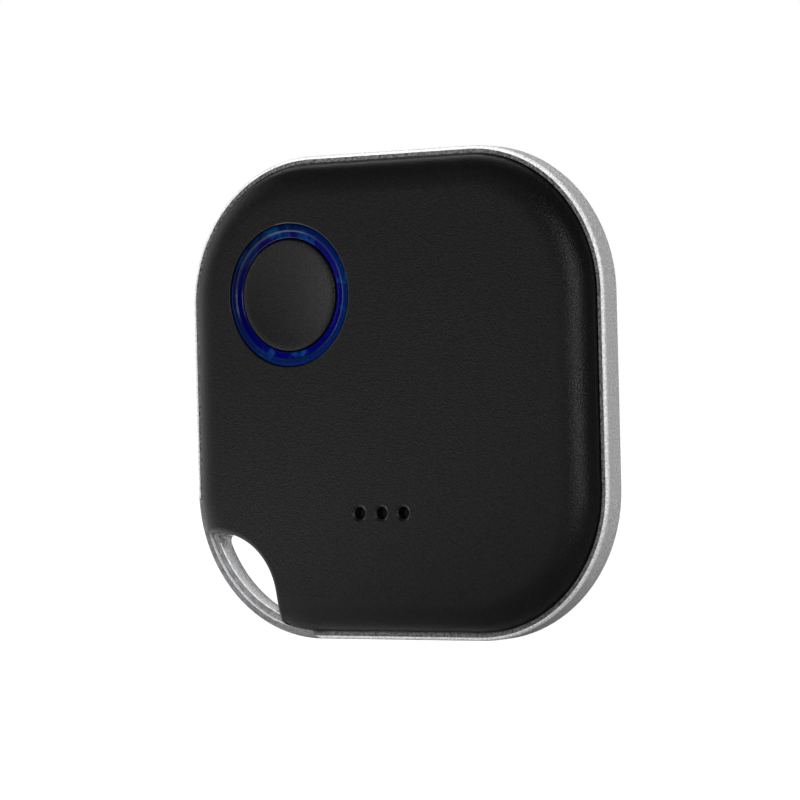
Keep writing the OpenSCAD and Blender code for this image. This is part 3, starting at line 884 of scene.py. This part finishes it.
put_out(metal, gives, colour, gloss, lines.outputs["Fac"], 0.004 * mm, 0.5)


def metal_of(name, dark, light):
    """A brushed metal with the colours of its lines."""
    return material_of(name, metal, {"Dark": (*dark, 1), "Light": (*light, 1)}, Metallic=1.0)


def moulding_of(name, dark, light, grain, gloss):
    """A moulded, fired or foamed material: its colours, its grain's size and depth in mm, its gloss."""
    values = {
        "Dark": (*dark, 1),
        "Light": (*light, 1),
        "Grain size": grain[0] * mm,
        "Grain depth": grain[1] * mm,
        "Smoothest": gloss[0],
        "Roughest": gloss[1],
    }
    return material_of(name, moulded, values)


spring_steel = metal_of("spring steel", (0.45, 0.45, 0.47), (0.68, 0.68, 0.7))
switch_grey = moulding_of(
    "grey moulding", (0.22, 0.22, 0.23), (0.32, 0.32, 0.33), grain=(0.2, 0.006), gloss=(0.4, 0.55)
)
plain_black = moulding_of(
    "plain black moulding", (0.01, 0.01, 0.011), (0.02, 0.02, 0.022), grain=(0.3, 0.006), gloss=(0.3, 0.45)
)
dress(cad["switch_body"], switch_grey)
dress(cad["switch_dome"], spring_steel)
dress(cad["switch_plunger"], plain_black)


# --------------------------------------------------------------------------------- circuit board
# A green glass-laminate board on the front cover's posts, with small parts soldered on its front:
# LEDs under the ring, a radio chip, a crystal, an antenna and passive parts. The laminate's weave and
# the copper tracks show through its solder mask.
board, given, gives = new_group(
    "solder mask",
    [("Mask", (0.0, 0.07, 0.025, 1)), ("Track", (0.0, 0.16, 0.05, 1)), ("Weave", 0.35 * mm)],
    surface_outputs,
)
spot = add(board, "TexCoord").outputs["Object"]
weave_scale = add(board, "Math", {0: 1.0, 1: given["Weave"]}, operation="DIVIDE").outputs[0]
threads = {"Vector": spot, "Scale": weave_scale, "Distortion": 0.4}
weave = add(board, "TexWave", threads, bands_direction="DIAGONAL").outputs["Fac"]
cells = add(board, "TexVoronoi", {"Vector": spot, "Scale": 700.0}, distance="MANHATTAN")
track = between(board, cells.outputs["Distance"], 0.42, 0.46)
colour = mix(board, track, given["Mask"], given["Track"])
gloss = between(board, weave, 0.0, 1.0, 0.22, 0.34)
height = add(board, "Math", {0: track, 1: weave}, operation="ADD").outputs[0]
put_out(board, gives, colour, gloss, height, 0.01 * mm, 0.5)
dress(cad["circuit_board"], material_of("green board", board, {}))
led_resin = moulding_of(
    "led resin", (0.62, 0.6, 0.42), (0.78, 0.76, 0.6), grain=(0.3, 0.004), gloss=(0.1, 0.2)
)
chip_epoxy = moulding_of(
    "chip epoxy", (0.012, 0.012, 0.013), (0.026, 0.026, 0.028), grain=(0.08, 0.008), gloss=(0.45, 0.6)
)
white_ceramic = moulding_of(
    "white ceramic", (0.62, 0.6, 0.52), (0.75, 0.73, 0.66), grain=(0.15, 0.004), gloss=(0.2, 0.3)
)
brown_ceramic = moulding_of(
    "brown ceramic", (0.22, 0.13, 0.07), (0.33, 0.2, 0.11), grain=(0.1, 0.004), gloss=(0.25, 0.4)
)
black_film = moulding_of(
    "black film", (0.012, 0.012, 0.014), (0.03, 0.03, 0.034), grain=(0.1, 0.004), gloss=(0.12, 0.25)
)
ferrite = moulding_of(
    "ferrite", (0.05, 0.047, 0.043), (0.09, 0.085, 0.078), grain=(0.06, 0.01), gloss=(0.4, 0.6)
)
dress(cad["indicator_leds"], led_resin)
dress(cad["radio_chip"], chip_epoxy)
dress(cad["crystal"], metal_of("crystal lid", (0.5, 0.48, 0.42), (0.68, 0.66, 0.6)))
dress(cad["chip_antenna"], white_ceramic)
dress(cad["capacitors"], brown_ceramic)
dress(cad["resistors"], black_film)
dress(cad["inductor"], ferrite)


# ---------------------------------------------------------------------------------------- buzzer
# The sounder behind the three holes: a woven dust mesh and a foam gasket stuck to the cover, a brass
# plate with its silvered ceramic disc, and two gold-flashed springs down to the board.
cloth, given, gives = new_group(
    "woven cloth",
    [("Thread", (0.035, 0.035, 0.038, 1)), ("Gap", (0.004, 0.004, 0.004, 1)), ("Pitch", 0.12 * mm)],
    surface_outputs,
)
spot = add(cloth, "TexCoord").outputs["Object"]
thread_scale = add(cloth, "Math", {0: 0.3, 1: given["Pitch"]}, operation="DIVIDE").outputs[0]
warp = add(cloth, "TexWave", {"Vector": spot, "Scale": thread_scale}, bands_direction="X")
weft = add(cloth, "TexWave", {"Vector": spot, "Scale": thread_scale}, bands_direction="Z")
weave = add(cloth, "Math", {0: warp.outputs["Fac"], 1: weft.outputs["Fac"]}, operation="MAXIMUM").outputs[0]
colour = mix(cloth, between(cloth, weave, 0.4, 0.8), given["Gap"], given["Thread"])
gloss = between(cloth, weave, 0.0, 1.0, 0.9, 0.6)
put_out(cloth, gives, colour, gloss, weave, 0.03 * mm, 0.8)
foam = moulding_of(
    "black foam", (0.008, 0.008, 0.009), (0.05, 0.05, 0.055), grain=(0.25, 0.06), gloss=(0.85, 0.95)
)
brass = metal_of("rolled brass", (0.55, 0.36, 0.12), (0.78, 0.56, 0.22))
silver = moulding_of(
    "silvered ceramic", (0.5, 0.49, 0.45), (0.62, 0.61, 0.57), grain=(0.09, 0.006), gloss=(0.35, 0.5)
)
gold = metal_of("gold-flashed spring", (0.65, 0.45, 0.16), (0.85, 0.64, 0.28))
dress(cad["sound_mesh"], material_of("dust cloth", cloth, {}))
dress(cad["buzzer_gasket"], foam)
dress(cad["buzzer_plate"], brass)
dress(cad["buzzer_ceramic"], silver)
dress(cad["buzzer_springs"], gold)


# ------------------------------------------------------------------------------------- coin cell
# A nickel-plated coin cell in a moulded cradle, between two spring contacts. Its can is the face
# that shows when the door is off. A foam pad stuck on the door keeps it seated.
cell_steel = metal_of("nickel-plated steel", (0.52, 0.53, 0.54), (0.7, 0.71, 0.72))
seal = moulding_of(
    "nylon seal", (0.015, 0.015, 0.016), (0.03, 0.03, 0.032), grain=(0.2, 0.004), gloss=(0.4, 0.55)
)
dress(cad["coin_cell_can"], cell_steel)
dress(cad["coin_cell_cap"], cell_steel)
dress(cad["coin_cell_gasket"], seal)
dress(cad["cell_cradle"], plain_black)
dress(cad["positive_contact"], spring_steel)
dress(cad["negative_contact"], spring_steel)
dress(cad["battery_pad"], foam)


# --------------------------------------------------------------------------------------- studio
# A plain pale floor that runs into a white surround. Both are white to look at but light dimly.
# Soft lights stand in front, at the left and above behind, with a strip at the right; two more reach
# only the clear band, and one only the button and its ring.
floor_size = 4
bpy.ops.object.select_all(action="DESELECT")
bpy.ops.mesh.primitive_plane_add(size=floor_size, location=(0, 0, cad_box[0][2]))
floor = bpy.context.object
floor.name = "floor"
pale = material_of(
    "pale floor",
    moulded,
    {
        "Dark": (0.86, 0.86, 0.86, 1),
        "Light": (0.9, 0.9, 0.9, 1),
        "Grain size": 2 * mm,
        "Grain depth": 0.01 * mm,
        "Cloud size": 60 * mm,
        "Smoothest": 0.8,
        "Roughest": 0.9,
    },
)
dress(floor, pale)


def white_to_look_at(tree, dim, bright):
    """A strength that is bright to look at, also through the clear frame, and dim as a light."""
    rays = add(tree, "LightPath")
    seen = {0: rays.outputs["Is Camera Ray"], 1: rays.outputs["Is Transmission Ray"]}
    looked_at = add(tree, "Math", seen, operation="MAXIMUM")
    return between(tree, looked_at.outputs[0], 0.0, 1.0, dim, bright)


# As a light, the floor fades from the tag's left to its right, with a brighter patch at its left
ground = pale.node_tree
floor_spot = add(ground, "TexCoord").outputs["Object"]
floor_x = add(ground, "SeparateXYZ", {0: floor_spot}).outputs["X"]
from_left = between(ground, floor_x, -20 * mm, 14 * mm, 0.32, 0.02)
patch_start = between(ground, floor_x, -50 * mm, -42 * mm, 0.0, 0.5)
patch_end = between(ground, floor_x, -26 * mm, -18 * mm, 1.0, 0.0)
with_patch = {0: patch_start, 1: patch_end, 2: from_left}
floor_light = add(ground, "Math", with_patch, operation="MULTIPLY_ADD").outputs[0]
shine = white_to_look_at(ground, floor_light, 1.0)
ground.links.new(shine, ground.nodes["Principled BSDF"].inputs["Emission Strength"])
ground.nodes["Principled BSDF"].inputs["Emission Color"].default_value = (1, 1, 1, 1)

aim = Vector((0, -4.43 * mm, 0))
light_distance = 0.6


def seen_from(azimuth, elevation, distance):
    """A place round the tag. Azimuth 0 is in front of it, and 90 at its right."""
    a, e = radians(azimuth), radians(elevation)
    return aim + distance * Vector((sin(a) * cos(e), -cos(a) * cos(e), sin(e)))


def softbox(name, azimuth, elevation, width, height, power):
    """A rectangular soft light that looks at the tag."""
    place = seen_from(azimuth, elevation, light_distance)
    bpy.ops.object.light_add(type="AREA", location=place)
    light = bpy.context.object
    light.name = name
    light.rotation_euler = (aim - place).to_track_quat("-Z", "Y").to_euler()
    light.data.shape = "RECTANGLE"
    light.data.size = width
    light.data.size_y = height
    light.data.energy = power
    return light


def light_only(light, pieces):
    """Let a light reach these pieces and nothing else."""
    lit = bpy.data.collections.new("lit by " + light.name)
    for piece in pieces:
        lit.objects.link(piece)
    light.light_linking.receiver_collection = lit


softbox("light_front_left", azimuth=-33, elevation=10, width=0.34, height=0.66, power=0.073)
softbox("light_left", azimuth=-95, elevation=0, width=0.48, height=0.7, power=0.47)
softbox("light_above_behind", azimuth=-150, elevation=50, width=0.4, height=0.4, power=0.25)
softbox("strip_right", azimuth=27, elevation=0, width=0.06, height=0.45, power=0.8)
band_light = softbox("light_band", azimuth=42, elevation=5, width=0.6, height=0.6, power=5)
button_light = softbox("light_button", azimuth=-50, elevation=0, width=0.11, height=0.2, power=0.15)
band_fill = softbox("light_band_top", azimuth=-40, elevation=45, width=0.4, height=0.4, power=3.2)
light_only(band_light, [clear_band])
light_only(band_fill, [clear_band])
light_only(button_light, [cap, ring])

world = bpy.data.worlds.new("white surround")
bpy.context.scene.world = world
world.use_nodes = True
sky = world.node_tree
sky.links.new(white_to_look_at(sky, 0.06, 1.0), sky.nodes["Background"].inputs["Strength"])
sky.nodes["Background"].inputs["Color"].default_value = (1, 1, 1, 1)

camera_azimuth = 33.06
camera_elevation = -0.16
camera_roll = 1.42
bpy.ops.object.camera_add(
    location=seen_from(camera_azimuth, camera_elevation, 0.28),
    rotation=(radians(90 - camera_elevation), radians(camera_roll), radians(camera_azimuth)),
)
camera = bpy.context.object
camera.data.lens = 171.3
camera.data.sensor_width = 36
camera.data.shift_x = 0.0076
camera.data.shift_y = -0.0058
camera.data.clip_start = 0.01
bpy.context.scene.camera = camera
bpy.context.scene.view_settings.view_transform = "Standard"
